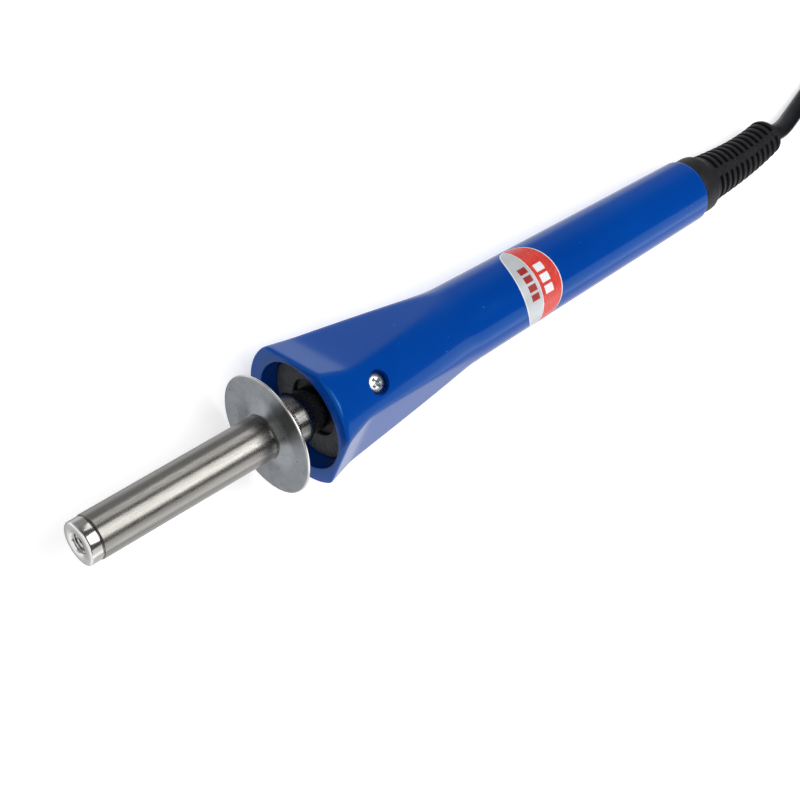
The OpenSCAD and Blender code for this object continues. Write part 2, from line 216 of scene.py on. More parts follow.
def stand_for(piece, node):
    """The piece rides on the iron and replaces a CAD node."""
    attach(piece, BODY)
    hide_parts(node)
    return piece


def skin(mesh_data, rings, shut=False, material_index=0):
    """Faces between rings of points. shut joins the last ring to the first."""
    rows = [[mesh_data.verts.new(p) for p in ring] for ring in rings]
    pairs = list(zip(rows, rows[1:]))
    if shut:
        pairs.append((rows[-1], rows[0]))
    for a, b in pairs:
        count = len(a)
        for i in range(count):
            j = (i + 1) % count
            face = mesh_data.faces.new((a[i], a[j], b[j], b[i]))
            face.material_index = material_index
    return rows


def cap(mesh_data, row):
    """Closes a ring of vertices with one fan around its middle."""
    middle = mesh_data.verts.new(sum((v.co for v in row), Vector()) / len(row))
    for i, v in enumerate(row):
        mesh_data.faces.new((v, row[(i + 1) % len(row)], middle))


def lathe(mesh_data, profile, steps=96, shut=True, place=round_axis):
    """Turns a profile of (x, radius) pairs about the iron's axis. radius may be a function
    of the angle. A profile that isn't shut gets a cap at each end."""
    rings = [[place(x, r(a) if callable(r) else r, a) for a in circle(steps)]
             for x, r in profile]
    rows = skin(mesh_data, rings, shut)
    if not shut:
        cap(mesh_data, rows[0])
        cap(mesh_data, rows[-1])
    return rows


def rounded(corners, size, steps):
    """A closed outline of (x, r) corners with each corner rounded by an arc-like curve."""
    out = []
    count = len(corners)
    for i, corner in enumerate(corners):
        here = Vector(corner)
        before = (Vector(corners[i - 1]) - here).normalized()
        after = (Vector(corners[(i + 1) % count]) - here).normalized()
        a, b = here + before * size, here + after * size
        for k in range(steps + 1):
            t = k / steps
            out.append(tuple((1 - t) ** 2 * a + 2 * t * (1 - t) * here + t * t * b))
    return out


def cut(piece, rings):
    """Takes the closed shape between two or more rings out of the piece."""
    mesh_data = bmesh.new()
    rows = skin(mesh_data, rings)
    cap(mesh_data, rows[0])
    cap(mesh_data, rows[-1])
    cutter = add_mesh("cutter", mesh_data, [])
    modifier = piece.modifiers.new("cut", "BOOLEAN")
    modifier.operation = "DIFFERENCE"
    modifier.solver = "EXACT"
    modifier.object = cutter
    bpy.context.view_layer.update()
    graph = bpy.context.evaluated_depsgraph_get()
    mesh = bpy.data.meshes.new_from_object(piece.evaluated_get(graph))
    piece.modifiers.clear()
    old = piece.data
    piece.data = mesh
    bpy.data.meshes.remove(old)
    bpy.data.objects.remove(cutter)


def dress(piece, material, smooth_angle):
    """Smooth shading, sharp edges and one material, after the piece's mesh was cut."""
    piece.data.shade_smooth()
    piece.data.set_sharp_from_angle(angle=math.radians(smooth_angle))
    piece.data.materials.clear()
    piece.data.materials.append(material)


def joined(a, b):
    """Two objects' meshes as one object."""
    mesh_data = bmesh.new()
    mesh_data.from_mesh(a.data)
    mesh_data.from_mesh(b.data)
    mesh_data.to_mesh(a.data)
    mesh_data.free()
    bpy.data.objects.remove(b)
    return a


# ---- Material tools ----


class Nodes:
    """A node tree with helpers. A value is a number, a colour or another node's output."""

    def __init__(self, tree):
        self.tree = tree

    def node(self, kind, **settings):
        made = self.tree.nodes.new(kind)
        for key, value in settings.items():
            setattr(made, key, value)
        return made

    def put(self, value, socket):
        if isinstance(value, bpy.types.NodeSocket):
            self.tree.links.new(value, socket)
        else:
            socket.default_value = (*value, 1) if isinstance(value, tuple) else value

    def math(self, operation, *values):
        made = self.node("ShaderNodeMath", operation=operation)
        for value, socket in zip(values, made.inputs):
            self.put(value, socket)
        return made.outputs[0]

    def span(self, value, low, high, to_low=0.0, to_high=1.0, kind="LINEAR"):
        """The value moved from the range low to high into another range."""
        made = self.node("ShaderNodeMapRange", interpolation_type=kind)
        for number, key in ((value, "Value"), (low, "From Min"), (high, "From Max"),
                            (to_low, "To Min"), (to_high, "To Max")):
            self.put(number, made.inputs[key])
        return made.outputs[0]

    def blend(self, factor, a, b):
        """A colour between a and b."""
        made = self.node("ShaderNodeMix", data_type="RGBA")
        for value, index in ((factor, 0), (a, 6), (b, 7)):
            self.put(value, made.inputs[index])
        return made.outputs[2]


class Finish(Nodes):
    """A Principled material with helpers for procedural detail. Positions are millimetres
    in the iron's own frame, so detail keeps its real scale."""

    def __init__(self, name, **sockets):
        self.material = bpy.data.materials.new(name)
        self.material.use_nodes = True
        super().__init__(self.material.node_tree)
        self.shader = self.tree.nodes["Principled BSDF"]
        for key, value in sockets.items():
            self.shader.inputs[key.replace("_", " ")].default_value = value
        self.place = self.iron_position()

    def iron_position(self):
        """(x, y, z) in millimetres in the iron's own frame."""
        where = self.node("ShaderNodeTexCoord").outputs["Object"]
        join = self.node("ShaderNodeCombineXYZ")
        moved = self.node("ShaderNodeVectorMath", operation="SUBTRACT")
        self.put(where, moved.inputs[0])
        moved.inputs[1].default_value = NOSE
        for i, axis in enumerate((ALONG, SIDE, ABOVE)):
            dot = self.node("ShaderNodeVectorMath", operation="DOT_PRODUCT")
            self.put(moved.outputs[0], dot.inputs[0])
            dot.inputs[1].default_value = axis / MM
            self.put(dot.outputs["Value"], join.inputs[i])
        return join.outputs[0]

    def parts(self):
        """x, y and z apart."""
        apart = self.node("ShaderNodeSeparateXYZ")
        self.put(self.place, apart.inputs[0])
        return apart.outputs

    def radius(self):
        _, y, z = self.parts()
        return self.math("SQRT", self.math("ADD", self.math("MULTIPLY", y, y),
                                           self.math("MULTIPLY", z, z)))

    def polar(self, per_angle=6.0):
        """(x, angle scaled to about a millimetre per step, radius), for detail round the axis."""
        x, y, z = self.parts()
        join = self.node("ShaderNodeCombineXYZ")
        self.put(x, join.inputs[0])
        self.put(self.math("MULTIPLY", self.math("ARCTAN2", y, z), per_angle), join.inputs[1])
        self.put(self.radius(), join.inputs[2])
        return join.outputs[0]

    def stretched(self, scale, where=None):
        made = self.node("ShaderNodeMapping")
        made.inputs["Scale"].default_value = scale
        self.put(where or self.place, made.inputs["Vector"])
        return made.outputs[0]

    def noise(self, scale, detail=3, rough=0.5, where=None):
        made = self.node("ShaderNodeTexNoise")
        made.inputs["Scale"].default_value = scale
        made.inputs["Detail"].default_value = detail
        made.inputs["Roughness"].default_value = rough
        self.put(where or self.place, made.inputs["Vector"])
        return made.outputs["Fac"]

    def cells(self, scale, where=None):
        """Distance to the nearest of scattered points, and that point's random number."""
        made = self.node("ShaderNodeTexVoronoi")
        made.inputs["Scale"].default_value = scale
        self.put(where or self.place, made.inputs["Vector"])
        apart = self.node("ShaderNodeSeparateColor")
        self.put(made.outputs["Color"], apart.inputs[0])
        return made.outputs["Distance"], apart.outputs[0]

    def colour(self, socket):
        self.put(socket, self.shader.inputs["Base Color"])

    def roughness(self, socket):
        self.put(socket, self.shader.inputs["Roughness"])

    def bump(self, height, strength, distance):
        made = self.node("ShaderNodeBump")
        made.inputs["Strength"].default_value = strength
        made.inputs["Distance"].default_value = distance * MM
        self.put(height, made.inputs["Height"])
        self.put(made.outputs[0], self.shader.inputs["Normal"])

    def specks(self, scale, size, share, where=None):
        """1 inside small scattered specks: share of the cells have one."""
        distance, chance = self.cells(scale, where)
        near = self.math("LESS_THAN", distance, size)
        return self.math("MULTIPLY", near, self.math("LESS_THAN", chance, share))


# ---- Materials ----


def blue_plastic():
    f = Finish("blue_plastic", Specular_IOR_Level=0.5, IOR=1.36)
    f.shader.inputs["Specular Tint"].default_value = (0.30, 1.0, 0.95, 1)
    tone = f.span(f.noise(0.05, 3), 0.3, 0.7)
    base = f.blend(tone, (0.0, 0.047, 0.312), (0.0, 0.054, 0.334))
    dust = f.specks(0.5, 0.05, 0.10)
    f.colour(f.blend(f.math("MULTIPLY", dust, 0.5), base, (0.4, 0.5, 0.7)))
    f.roughness(f.span(f.noise(0.4, 4), 0.3, 0.7, 0.10, 0.15))
    f.bump(f.noise(0.25, 2), 0.04, 0.15)
    return f.material


def barrel_steel():
    f = Finish("barrel_steel", Metallic=1.0)
    x = f.parts()[0]
    grain = f.noise(1.0, 4, where=f.stretched((0.05, 1.6, 1.0), f.polar()))
    fine = f.noise(3.0, 2, where=f.stretched((0.15, 1.2, 1.0), f.polar()))
    front = f.blend(f.span(grain, 0.3, 0.7), (0.25, 0.24, 0.225), (0.31, 0.30, 0.28))
    rings = f.noise(1.0, 2, where=f.stretched((2.5, 0.3, 1.0), f.polar()))
    rear = f.blend(f.span(rings, 0.3, 0.7), (0.16, 0.16, 0.16), (0.26, 0.255, 0.25))
    pits = f.specks(1.1, 0.10, 0.25, f.polar())
    worn = f.blend(f.math("MULTIPLY", pits, 0.25), front, (0.15, 0.14, 0.13))
    f.colour(f.blend(f.span(x, 52, 54), worn, rear))
    f.roughness(f.span(fine, 0.3, 0.7, 0.22, 0.32))
    f.bump(f.math("ADD", f.math("MULTIPLY", grain, 0.6), f.math("MULTIPLY", fine, 0.3)),
           0.04, 0.05)
    return f.material


def nickel():
    f = Finish("nickel", Metallic=1.0)
    plated = f.blend(f.span(f.noise(0.8, 3), 0.3, 0.7), (0.47, 0.455, 0.43),
                     (0.53, 0.515, 0.49))
    face = f.span(f.parts()[0], 0.5, 0.1)          # the nose's end face is paler
    f.colour(f.blend(face, plated, (0.93, 0.92, 0.90)))
    f.roughness(f.span(f.noise(2.5, 4), 0.3, 0.7, 0.10, 0.20))
    f.bump(f.noise(1.5, 3), 0.05, 0.05)
    return f.material


def galvanised():
    f = Finish("galvanised_sheet", Metallic=1.0)
    mottle = f.span(f.noise(0.35, 5, 0.65), 0.35, 0.65)
    base = f.blend(mottle, (0.29, 0.305, 0.32), (0.36, 0.375, 0.39))
    grey = f.specks(1.3, 0.22, 0.35)
    spotted = f.blend(f.math("MULTIPLY", grey, 0.5), base, (0.22, 0.23, 0.24))
    patch = f.span(f.noise(0.22, 2), 0.50, 0.62)
    dark = f.math("MULTIPLY", f.specks(1.7, 0.26, 0.30), patch)
    spotted = f.blend(f.math("MULTIPLY", dark, 0.75), spotted, (0.06, 0.06, 0.065))
    mark = f.specks(0.45, 0.10, 0.20)
    spotted = f.blend(f.math("MULTIPLY", mark, 0.8), spotted, (0.03, 0.03, 0.03))
    # Painted highlight: the outer rim is painted a pale colour all round, standing in for the
    # light it catches. The same mask also lowers the rim's roughness, for its real polish.
    rim_polish_and_highlight = f.span(f.radius(), 14.6, 14.85)
    f.colour(f.blend(rim_polish_and_highlight, spotted, (0.74, 0.71, 0.67)))
    hub = f.span(f.radius(), 7.0, 10.5, 0.20, 0.32)
    plain = f.math("ADD", hub, f.span(f.noise(1.2, 4), 0.3, 0.7, -0.03, 0.06))
    f.roughness(f.math("SUBTRACT", plain, f.math("MULTIPLY", rim_polish_and_highlight, 0.12)))
    f.bump(f.noise(0.35, 3), 0.10, 0.10)
    return f.material


def zinc_plate():
    f = Finish("zinc_plate", Metallic=1.0)
    f.colour(f.blend(f.span(f.noise(0.9, 4), 0.3, 0.7), (0.66, 0.69, 0.70),
                     (0.80, 0.83, 0.84)))
    f.roughness(f.span(f.noise(3.0, 3), 0.3, 0.7, 0.22, 0.38))
    f.bump(f.noise(4.0, 3), 0.10, 0.04)
    return f.material


def dull_steel():
    f = Finish("dull_steel", Metallic=1.0)
    streaks = f.noise(1.0, 3, where=f.stretched((0.15, 2.2, 1.0), f.polar()))
    f.colour(f.blend(f.span(streaks, 0.3, 0.7), (0.15, 0.15, 0.15), (0.27, 0.26, 0.245)))
    f.roughness(f.span(f.noise(2.0, 3), 0.3, 0.7, 0.20, 0.30))
    f.bump(streaks, 0.10, 0.04)
    return f.material


def pressed_board():
    f = Finish("pressed_board", Specular_IOR_Level=0.35)
    rays = f.noise(1.0, 4, where=f.stretched((0.2, 2.6, 0.25), f.polar(9)))
    grit = f.noise(2.2, 4, 0.7)
    mixed = f.math("MULTIPLY", f.math("ADD", rays, grit), 0.5)
    f.colour(f.blend(f.span(mixed, 0.35, 0.65), (0.030, 0.032, 0.036), (0.150, 0.155, 0.160)))
    f.roughness(f.span(grit, 0.3, 0.7, 0.55, 0.8))
    f.bump(mixed, 0.5, 0.15)
    return f.material


def plain_finish(name, dark, light, rough=(0.5, 0.65), grain=1.5, bump=0.1, metallic=0.0,
                 shine=0.5):
    """A finish with mottled colour, uneven roughness and a fine grain."""
    f = Finish(name, Metallic=metallic, Specular_IOR_Level=shine)
    f.colour(f.blend(f.span(f.noise(grain * 0.4, 3), 0.3, 0.7), dark, light))
    f.roughness(f.span(f.noise(grain, 3), 0.3, 0.7, *rough))
    f.bump(f.noise(grain * 2, 3), bump, 0.06)
    return f.material


BLUE = blue_plastic()
STEEL = barrel_steel()
NICKEL = nickel()
SHEET = galvanised()
ZINC = zinc_plate()
DULL = dull_steel()
BOARD = pressed_board()
BLACKED = plain_finish("blackened_steel", (0.02, 0.02, 0.022), (0.05, 0.05, 0.055),
                       (0.4, 0.6), 1.5, 0.1, 1.0)
RUBBER = plain_finish("black_rubber", (0.007, 0.007, 0.009), (0.013, 0.013, 0.016),
                      (0.42, 0.58), 1.6, 0.25, shine=0.3)
SHEATH = plain_finish("cord_sheath", (0.007, 0.008, 0.010), (0.013, 0.014, 0.017),
                      (0.28, 0.38), 1.0, 0.10, shine=0.35)
PLUG = plain_finish("plug_plastic", (0.012, 0.012, 0.013), (0.020, 0.020, 0.022),
                    (0.40, 0.55), 2.0, 0.25)
TIE = plain_finish("tie_plastic", (0.010, 0.010, 0.010), (0.020, 0.020, 0.020), (0.3, 0.4))
CERAMIC = plain_finish("steatite", (0.78, 0.75, 0.68), (0.88, 0.86, 0.80), (0.55, 0.75))
MICA = plain_finish("mica_sheet", (0.48, 0.42, 0.30), (0.66, 0.60, 0.46), (0.25, 0.45))
WIRE = plain_finish("resistance_wire", (0.20, 0.19, 0.18), (0.34, 0.32, 0.30), (0.35, 0.5),
                    3.0, 0.1, 1.0)
SLEEVING = plain_finish("glass_sleeving", (0.72, 0.70, 0.62), (0.88, 0.86, 0.80), (0.7, 0.9),
                        3.0, 0.4)
BROWN = plain_finish("brown_insulation", (0.12, 0.05, 0.02), (0.18, 0.08, 0.04), (0.35, 0.5))
PALE_BLUE = plain_finish("blue_insulation", (0.03, 0.10, 0.38), (0.05, 0.15, 0.50),
                         (0.35, 0.5))
PAPER_WHITE = plain_finish("label_white", (0.80, 0.80, 0.82), (0.88, 0.88, 0.90), (0.2, 0.3))
LABEL_RED = plain_finish("label_red", (0.60, 0.038, 0.028), (0.70, 0.060, 0.040), (0.22, 0.30),
                         0.8, 0.01)
LABEL_SILVER = plain_finish("label_silver", (0.50, 0.53, 0.55), (0.62, 0.65, 0.67),
                            (0.38, 0.48), 0.3, 0.0, 0.3)
LABEL_INK = plain_finish("label_ink", (0.30, 0.015, 0.012), (0.38, 0.025, 0.02), (0.3, 0.4))

cord.data.materials.append(SHEATH)

# ---- Handle ----

MOUTH_X, MOUTH_R = 61.2, 17.8
NECK_X, NECK_R = 108, 10.3
TAIL_X, TAIL_R = 197.4, 8.5
CREASE_X, CREASE_R = 69.5, 12.7
FLAT_R, FLAT_END_GAP = 15.2, 0.06        # the facets end a little outside the neck
NECK_FILLET, CREASE_FILLET = 0.30, 0.35
BORE_R, PLATE_X, PLATE_R, PLATE_T = 13.6, 65.6, 12.9, 0.8
FLATS = [math.radians(a) for a in (60, 180, 300)]
SCREW_X = 75.2
SCREW_SEAT = 12.85       # distance from the axis
SCREW_TURNS = (0, 120, 240)
RECESS_R, SCREW_HOLE_R = 3.0, 1.65
FRONT_EDGE, TAIL_EDGE = 0.7, 1.1         # roundings of the handle's two ends
TAIL_BORE_R, POCKET_X, POCKET_R = 5.4, 191, 6.6
EDGE_SHARPNESS = 80      # the higher, the tighter the edges between the flats and the cone


def above_both(a, b, blend_width):
    """The higher of two numbers, with a fillet where they cross."""
    return (a + b + math.sqrt((a - b) ** 2 + blend_width ** 2)) / 2


def cone_radius(x):
    """Radius of the flare and the grip, without the flats."""
    flare = NECK_R + (MOUTH_R - NECK_R) * (NECK_X - x) / (NECK_X - MOUTH_X)
    grip = NECK_R - (NECK_R - TAIL_R) * (x - NECK_X) / (TAIL_X - NECK_X)
    return above_both(flare, grip, NECK_FILLET)


def flat_distance(x):
    """Distance of the flats from the axis: steep on the collar, then a crease and a long
    facet that runs out at the neck."""
    collar = FLAT_R - (FLAT_R - CREASE_R) * (x - MOUTH_X) / (CREASE_X - MOUTH_X)
    drop = CREASE_R - NECK_R - FLAT_END_GAP
    facet = CREASE_R - drop * (x - CREASE_X) / (NECK_X - CREASE_X)
    near_neck = max(0, x - NECK_X + 4)       # from there on the facet lifts off the grip
    return above_both(collar, facet, CREASE_FILLET) + 0.004 * near_neck ** 2


def handle_radius(x, psi):
    """Outer radius of the handle at angle psi."""
    total = cone_radius(x) ** -EDGE_SHARPNESS
    for flat in FLATS:
        lean = math.cos(psi - flat)
        if lean > 0.3:                       # a flat shapes only its own side
            total += (lean / flat_distance(x)) ** EDGE_SHARPNESS
    return total ** (-1 / EDGE_SHARPNESS)


def handle_stations():
    """Distances at which the outer surface has a ring: close together at the crease."""
    at_crease, on_flare, on_grip = 0.35, 0.8, 1.8
    stations = []
    x = MOUTH_X + FRONT_EDGE
    while x < TAIL_X - TAIL_EDGE:
        stations.append(x)
        if abs(x - CREASE_X) < 2.5:
            x += at_crease
        else:
            x += on_flare if x < NECK_X + 12 else on_grip
    return stations


def end_rounding(start, size, steps):
    """Rings of a quarter round at an end of the handle. size is negative at the front."""
    rings = []
    for k in range(steps):
        a = math.radians(90 * k / 6)
        inset = abs(size) * (1 - math.cos(a))
        rings.append((start + size * math.sin(a),
                      lambda psi, inset=inset: handle_radius(start, psi) - inset))
    return rings


def make_handle():
    """One moulded shell: flare, flats and grip outside, a stepped bore inside, and three
    screw holes with recesses."""
    profile = end_rounding(MOUTH_X + FRONT_EDGE, -FRONT_EDGE, 6)
    profile.reverse()
    profile += [(x, lambda psi, x=x: handle_radius(x, psi)) for x in handle_stations()]
    profile += end_rounding(TAIL_X - TAIL_EDGE, TAIL_EDGE, 7)
    ledge_x = PLATE_X + PLATE_T
    profile += [(TAIL_X, TAIL_BORE_R + 0.3), (TAIL_X - 0.3, TAIL_BORE_R),
                (POCKET_X, TAIL_BORE_R), (POCKET_X, POCKET_R), (150, 7.45), (NECK_X, 8.3),
                (90, 9.45), (ledge_x, 11.0), (ledge_x, 13.0), (63.8, 13.3),
                (MOUTH_X + 0.35, BORE_R), (MOUTH_X + 0.1, BORE_R + 0.1),
                (MOUTH_X, BORE_R + 0.35)]
    mesh_data = bmesh.new()
    lathe(mesh_data, profile, steps=288)
    handle = add_mesh("handle", mesh_data, [BLUE], 30)
    for turn in SCREW_TURNS:
        for low, high, r in ((SCREW_SEAT, 24, RECESS_R), (6, SCREW_SEAT + 0.5, SCREW_HOLE_R)):
            cut(handle, [screw_ring(turn, r, h, 64) for h in (low, high)])
    dress(handle, BLUE, 30)
    stand_for(handle, "handle_shell")


def turned_up(turn, x, y, z):
    """A point given for the upper screw, turned about the axis to another screw."""
    a = math.radians(turn)
    return at(x, y * math.cos(a) + z * math.sin(a), z * math.cos(a) - y * math.sin(a))


def screw_ring(turn, r, height, steps):
    """A ring round a screw's own axis, at a height above the iron's axis."""
    return [turned_up(turn, SCREW_X + r * math.cos(a), r * math.sin(a), height)
            for a in circle(steps)]


make_handle()

# ---- Screws ----


HEAD_R, HEAD_H, HEAD_WALL = 2.45, 1.6, 0.75
SHANK_R, SHANK = 1.5, 6.2
THREAD_PITCH, THREAD_DEPTH = 0.5, 0.28
CROSS_TURN = math.radians(25)            # which way the cross points


def thread_ring(turn, height, steps=48):
    """A ring of the screw's thread, at a height above its seat."""
    fade = min(1, (height + SHANK) / 0.6 + 0.2)      # narrower at the tip
    ring = []
    for k, a in enumerate(circle(steps)):
        wave = abs(((height / THREAD_PITCH - k / steps) % 1) * 2 - 1)
        r = (SHANK_R - THREAD_DEPTH * wave) * fade
        ring.append(turned_up(turn, SCREW_X + r * math.cos(a), r * math.sin(a),
                              SCREW_SEAT + height))
    return ring


def cross_blade(turn, quarter):
    """One tapered blade of the cross recess, as three rings."""
    a = quarter + CROSS_TURN
    return [[turned_up(turn, SCREW_X + u * math.cos(a) - v * math.sin(a),
                       u * math.sin(a) + v * math.cos(a), SCREW_SEAT + HEAD_H + lift)
             for u, v in ((long, wide), (-long, wide), (-long, -wide), (long, -wide))]
            for lift, long, wide in ((-1.25, 0.5, 0.28), (-0.9, 1.05, 0.36),
                                     (0.4, 1.55, 0.50))]


def make_screws():
    """Three pan-head screws with a cross recess and a cut thread."""
    thread_rings = 96
    head = [(SHANK_R, 0.0), (HEAD_R - 0.15, 0.0), (HEAD_R, 0.15), (HEAD_R, HEAD_WALL)]
    for degrees in range(10, 86, 8):
        a = math.radians(degrees)
        head.append((HEAD_R * math.cos(a) ** 0.7,
                     HEAD_WALL + (HEAD_H - HEAD_WALL) * math.sin(a)))
    whole = None
    for turn in SCREW_TURNS:
        rings = [thread_ring(turn, -SHANK + (SHANK - 0.2) * i / thread_rings)
                 for i in range(thread_rings + 1)]
        rings += [screw_ring(turn, r, SCREW_SEAT + h, 48) for r, h in head]
        mesh_data = bmesh.new()
        rows = skin(mesh_data, rings)
        cap(mesh_data, rows[0])
        cap(mesh_data, rows[-1])
        screw = add_mesh("screw", mesh_data, [ZINC], 40)
        for quarter in (0, math.pi / 2):
            cut(screw, cross_blade(turn, quarter))
        whole = joined(whole, screw) if whole else screw
    whole.name = "screws"
    dress(whole, ZINC, 35)
    stand_for(whole, "handle_screws")


make_screws()

# ---- Label ----

LABEL_X, LABEL_LEN, LABEL_ANGLE = 132.8, 6.75, math.radians(82)
LABEL_SPLIT = 132.2      # where its silver half meets its red half
LABEL_BORDER, LABEL_LINE = 0.28, 0.10    # width of the white rim, half width of the split
LABEL_INKS = [PAPER_WHITE, LABEL_SILVER, LABEL_RED, LABEL_INK]
ON_WHITE, ON_SILVER, ON_RED, ON_INK = range(4)


def label_half_angle(x, inset):
    """Half the angle that the oval covers at x, inset from its edge by some millimetres."""
    long = LABEL_LEN - inset
    wide = LABEL_ANGLE - inset / handle_radius(x, 0)
    return wide * math.sqrt(max(0, 1 - ((x - LABEL_X) / long) ** 2))


def label_patch(x0, x1, span_at, height, index):
    """A thin patch that follows the grip. span_at gives its lowest and highest angle at x."""
    columns, lines, base = 40, 56, -0.03
    mesh_data = bmesh.new()

    def sheet(lift):
        grid = []
        for i in range(columns + 1):
            x = x0 + (x1 - x0) * (1 - math.cos(math.pi * i / columns)) / 2
            low, high = span_at(x)
            grid.append([mesh_data.verts.new(round_axis(x, cone_radius(x) + lift,
                                                        low + (high - low) * k / lines))
                         for k in range(lines + 1)])
        for row, following in zip(grid, grid[1:]):
            for k in range(lines):
                mesh_data.faces.new((row[k], following[k], following[k + 1], row[k + 1]))
        return grid

    upper, lower = sheet(height), sheet(base)
    edges = [[(i, 0) for i in range(columns + 1)], [(i, lines) for i in range(columns + 1)],
             [(0, k) for k in range(lines + 1)], [(columns, k) for k in range(lines + 1)]]
    for line in edges:
        for (a, b), (c, d) in zip(line, line[1:]):
            mesh_data.faces.new((upper[a][b], upper[c][d], lower[c][d], lower[a][b]))
    for face in mesh_data.faces:
        face.material_index = index
    return mesh_data


def label_oval(inset, height, index, x0=-math.inf, x1=math.inf):
    """The label's oval, inset from its edge and cut off at x0 and x1."""
    half = LABEL_LEN - inset - 0.001         # a hair short, so the ends aren't points
    return label_patch(max(x0, LABEL_X - half), min(x1, LABEL_X + half),
                       lambda x: (-label_half_angle(x, inset), label_half_angle(x, inset)),
                       height, index)


def label_blocks(x0, x1, first, last, count, index):
    """Plain blocks between two angles, in degrees, where the real label has its print."""
    step = (last - first) / count
    patches = []
    for i in range(count):
        low = math.radians(first + step * (i + 0.14))
        high = math.radians(first + step * (i + 0.86))
        patches.append(label_patch(x0, x1, lambda x, a=low, b=high: (a, b), 0.08, index))
    return patches


def make_label():
    """An oval sticker with a white border, a silver half and a red half, and blocks."""
    patches = [label_oval(0, 0.04, ON_WHITE),
               label_oval(LABEL_BORDER, 0.06, ON_SILVER, x1=LABEL_SPLIT - LABEL_LINE),
               label_oval(LABEL_BORDER, 0.06, ON_RED, x0=LABEL_SPLIT + LABEL_LINE)]
    patches += label_blocks(128.6, 131.2, -22, 34, 4, ON_INK)
    patches += label_blocks(133.4, 136.2, -22, 30, 3, ON_WHITE)
    whole = None
    for mesh_data in patches:
        piece = add_mesh("label", mesh_data, LABEL_INKS, 30)
        whole = joined(whole, piece) if whole else piece
    stand_for(whole, "rating_label")


make_label()

# ---- Nose ----


NOSE_BORE_R, THREAD_START, THREAD_END = 2.1, 0.45, 11.4
CHAMFER_R = 2.45         # radius of the chamfer at the thread's mouth


def nose_thread_radius(x, turned):
    """Radius of the M5 thread at x, after a share of a turn."""
    pitch, depth, start_len = 0.8, 0.38, 0.35
    wave = abs(((x / pitch - turned) % 1) * 2 - 1)
    cut_r = NOSE_BORE_R + depth * (wave ** 0.8)
    start = min(1, max(0, (x - THREAD_START) / start_len))
    return cut_r * start + CHAMFER_R * (1 - start)


def make_nose():
    """The plated nose cap with its thread, and its shank inside the barrel."""
    steps, ring_gap = 96, 0.1
    outer = [(12.0, NOSE_BORE_R), (14.0, NOSE_BORE_R), (14.0, 5.08), (3.35, 5.08),
             (3.25, 4.95), (3.05, 4.95), (3.0, 5.2), (2.85, 5.34), (0.55, 5.34),
             (0.32, 5.3), (0.13, 5.15), (0.03, 4.94), (0.0, 4.76), (0.0, 2.95),
             (0.05, 2.82), (THREAD_START, CHAMFER_R)]
    rings = [[round_axis(x, r, a) for a in circle(steps)] for x, r in outer]
    for i in range(1, int((THREAD_END - THREAD_START) / ring_gap) + 1):
        x = THREAD_START + ring_gap * i
        rings.append([round_axis(x, nose_thread_radius(x, k / steps), a)
                      for k, a in enumerate(circle(steps))])
    mesh_data = bmesh.new()
    skin(mesh_data, rings, shut=True)
    stand_for(add_mesh("nose_cap", mesh_data, [NICKEL], 38), "nose_bush")


make_nose()

# ---- Barrel, disc and collar ----


BARREL_X, BARREL_STEP_X, BARREL_END_X = 3.3, 50.6, 80
BARREL_R, BARREL_REAR_R, BARREL_BORE_R = 5.5, 5.34, 5.12


def make_barrel():
    """The steel tube: a rounded front edge, and a slightly narrower part behind the disc."""
    outline = [(BARREL_X, BARREL_BORE_R), (BARREL_X, BARREL_R - 0.16),
               (BARREL_X + 0.04, BARREL_R - 0.06), (BARREL_X + 0.14, BARREL_R)]
    outline += [(BARREL_X + 0.3 + i * 2.0, BARREL_R) for i in range(24)]
    outline += [(BARREL_STEP_X, BARREL_R), (BARREL_STEP_X + 0.05, BARREL_REAR_R)]
    outline += [(x, BARREL_REAR_R) for x in (56, 60, 64, 72, BARREL_END_X)]
    outline += [(x, BARREL_BORE_R) for x in (BARREL_END_X, 60, 30)]
    mesh_data = bmesh.new()
    lathe(mesh_data, outline, steps=128)
    stand_for(add_mesh("barrel", mesh_data, [STEEL]), "barrel_tube")


def make_disc():
    """The heat shield: thin sheet with a drawn hub and a rounded, polished rim, whose pale
    colour is a painted highlight. Its outline runs out along the front and back along the rear."""
    front = [(50.62, 5.36), (50.5, 5.62), (50.56, 6.0), (50.72, 6.5), (50.95, 7.2),
             (51.14, 8.0), (51.3, 8.8), (51.4, 9.4), (51.45, 10.0), (51.47, 10.8),
             (51.48, 12.0), (51.48, 14.0), (51.49, 14.6), (51.52, 14.78), (51.6, 14.88),
             (51.7, 14.9)]
    rear = [(52.0, 14.9), (52.08, 14.82), (52.1, 14.7), (52.1, 14.0), (52.1, 12.0),
            (52.09, 10.8), (52.06, 10.0), (52.02, 9.4), (51.92, 8.8), (51.76, 8.0),
            (51.6, 7.2), (51.4, 6.5), (51.25, 6.0), (51.18, 5.7), (51.18, 5.36)]
    mesh_data = bmesh.new()

    def warped(x, r, psi):
        return round_axis(x + 0.05 * math.sin(2 * psi + 0.6) * (r / 15) ** 2, r, psi)

    lathe(mesh_data, front + rear, steps=192, place=warped)
    stand_for(add_mesh("heat_shield_disc", mesh_data, [SHEET], 50), "heat_shield")


